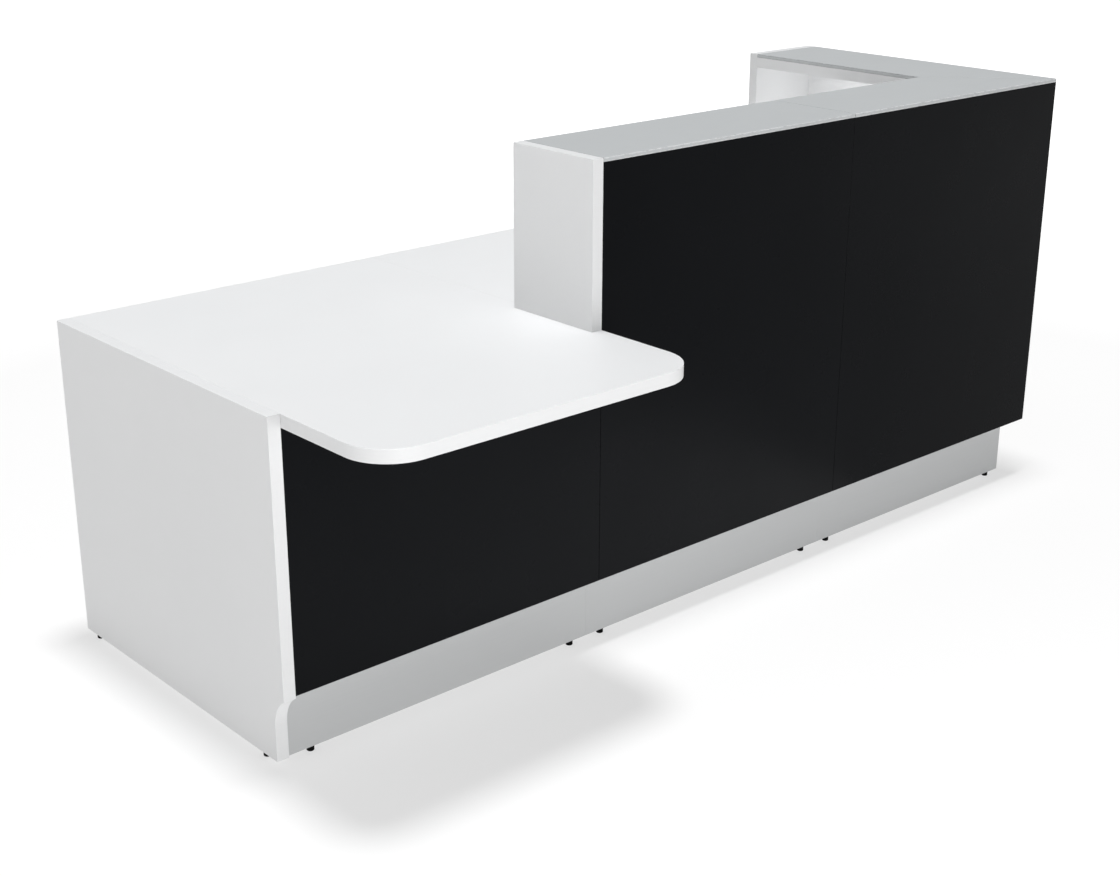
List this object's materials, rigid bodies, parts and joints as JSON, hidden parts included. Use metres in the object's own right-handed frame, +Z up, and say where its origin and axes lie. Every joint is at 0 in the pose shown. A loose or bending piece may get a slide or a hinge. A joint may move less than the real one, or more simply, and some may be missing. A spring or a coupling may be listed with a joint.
{
  "type": "checkout counter",
  "caption": "L-shaped checkout counter with a low overhanging till worktop, black-fronted high shelf units, a mitred corner, grey shelf tops and plinth, and threaded levelling feet.",
  "frame": {"origin": "on the floor under the middle of the whole outline", "axes": "+X along the customers' front from the low module to the corner, +Y from the customers' side to the staff side, +Z up"},
  "size_m": [2.45, 1.15, 1.111],
  "materials": {
    "white_melamine": "satin",
    "white_edge_band": "satin",
    "black_panel": "satin",
    "silver_laminate": "satin",
    "silver_cover": "satin",
    "black_plastic": "matte",
    "zinc_steel": "satin",
    "beech": "matte"
  },
  "bodies": {
    "counter": {"angle_brackets": "zinc_steel", "bracket_screws": "zinc_steel", "confirmat_screws": "zinc_steel", "corner_front_board": "white_melamine", "corner_front_cover": "silver_cover", "corner_front_deck": "white_melamine", "corner_front_panel": "black_panel", "corner_front_plinth": "silver_laminate", "corner_front_shelf": "white_melamine", "corner_side_board": "white_melamine", "corner_side_cover": "silver_cover", "corner_side_deck": "white_melamine", "corner_side_panel": "black_panel", "corner_side_plinth": "silver_laminate", "corner_side_shelf": "white_melamine", "corner_worktop": "white_melamine", "dowels": "beech", "foot_inserts": "zinc_steel", "high_partition": "white_melamine", "joint_plates": "zinc_steel", "low_deck": "white_melamine", "low_end_panel": "white_melamine", "low_end_panel_edge_band": "white_edge_band", "low_front_board": "white_melamine", "low_front_panel": "black_panel", "low_partition": "white_melamine", "low_plinth": "silver_laminate", "low_worktop": "white_melamine", "low_worktop_edge_band": "white_edge_band", "mid_cover": "silver_cover", "mid_deck": "white_melamine", "mid_front_board": "white_melamine", "mid_front_panel": "black_panel", "mid_plinth": "silver_laminate", "mid_shelf": "white_melamine", "mid_worktop": "white_melamine", "shelf_divider": "white_melamine", "upper_end_panel": "white_melamine", "upper_end_panel_edge_band": "white_edge_band", "wing_end_panel": "white_melamine", "wing_end_panel_edge_band": "white_edge_band"},
    "foot_corner_plinth_left": {"foot_corner_plinth_left": "black_plastic"},
    "foot_corner_plinth_right": {"foot_corner_plinth_right": "black_plastic"},
    "foot_high_partition": {"foot_high_partition": "black_plastic"},
    "foot_low_end_front": {"foot_low_end_front": "black_plastic"},
    "foot_low_end_rear": {"foot_low_end_rear": "black_plastic"},
    "foot_low_partition": {"foot_low_partition": "black_plastic"},
    "foot_low_plinth_left": {"foot_low_plinth_left": "black_plastic"},
    "foot_low_plinth_right": {"foot_low_plinth_right": "black_plastic"},
    "foot_mid_plinth_left": {"foot_mid_plinth_left": "black_plastic"},
    "foot_mid_plinth_right": {"foot_mid_plinth_right": "black_plastic"},
    "foot_side_plinth_front": {"foot_side_plinth_front": "black_plastic"},
    "foot_side_plinth_rear": {"foot_side_plinth_rear": "black_plastic"},
    "foot_wing_end_inner": {"foot_wing_end_inner": "black_plastic"},
    "foot_wing_end_outer": {"foot_wing_end_outer": "black_plastic"}
  },
  "joints": [
    {"name": "foot_corner_plinth_left_thread", "type": "slide", "parent": "counter", "child": "foot_corner_plinth_left", "axis": [0, 0, -1], "range_m": [0, 0.012]},
    {"name": "foot_corner_plinth_right_thread", "type": "slide", "parent": "counter", "child": "foot_corner_plinth_right", "axis": [0, 0, -1], "range_m": [0, 0.012]},
    {"name": "foot_high_partition_thread", "type": "slide", "parent": "counter", "child": "foot_high_partition", "axis": [0, 0, -1], "range_m": [0, 0.012]},
    {"name": "foot_low_end_front_thread", "type": "slide", "parent": "counter", "child": "foot_low_end_front", "axis": [0, 0, -1], "range_m": [0, 0.012]},
    {"name": "foot_low_end_rear_thread", "type": "slide", "parent": "counter", "child": "foot_low_end_rear", "axis": [0, 0, -1], "range_m": [0, 0.012]},
    {"name": "foot_low_partition_thread", "type": "slide", "parent": "counter", "child": "foot_low_partition", "axis": [0, 0, -1], "range_m": [0, 0.012]},
    {"name": "foot_low_plinth_left_thread", "type": "slide", "parent": "counter", "child": "foot_low_plinth_left", "axis": [0, 0, -1], "range_m": [0, 0.012]},
    {"name": "foot_low_plinth_right_thread", "type": "slide", "parent": "counter", "child": "foot_low_plinth_right", "axis": [0, 0, -1], "range_m": [0, 0.012]},
    {"name": "foot_mid_plinth_left_thread", "type": "slide", "parent": "counter", "child": "foot_mid_plinth_left", "axis": [0, 0, -1], "range_m": [0, 0.012]},
    {"name": "foot_mid_plinth_right_thread", "type": "slide", "parent": "counter", "child": "foot_mid_plinth_right", "axis": [0, 0, -1], "range_m": [0, 0.012]},
    {"name": "foot_side_plinth_front_thread", "type": "slide", "parent": "counter", "child": "foot_side_plinth_front", "axis": [0, 0, -1], "range_m": [0, 0.012]},
    {"name": "foot_side_plinth_rear_thread", "type": "slide", "parent": "counter", "child": "foot_side_plinth_rear", "axis": [0, 0, -1], "range_m": [0, 0.012]},
    {"name": "foot_wing_end_inner_thread", "type": "slide", "parent": "counter", "child": "foot_wing_end_inner", "axis": [0, 0, -1], "range_m": [0, 0.012]},
    {"name": "foot_wing_end_outer_thread", "type": "slide", "parent": "counter", "child": "foot_wing_end_outer", "axis": [0, 0, -1], "range_m": [0, 0.012]}
  ]
}
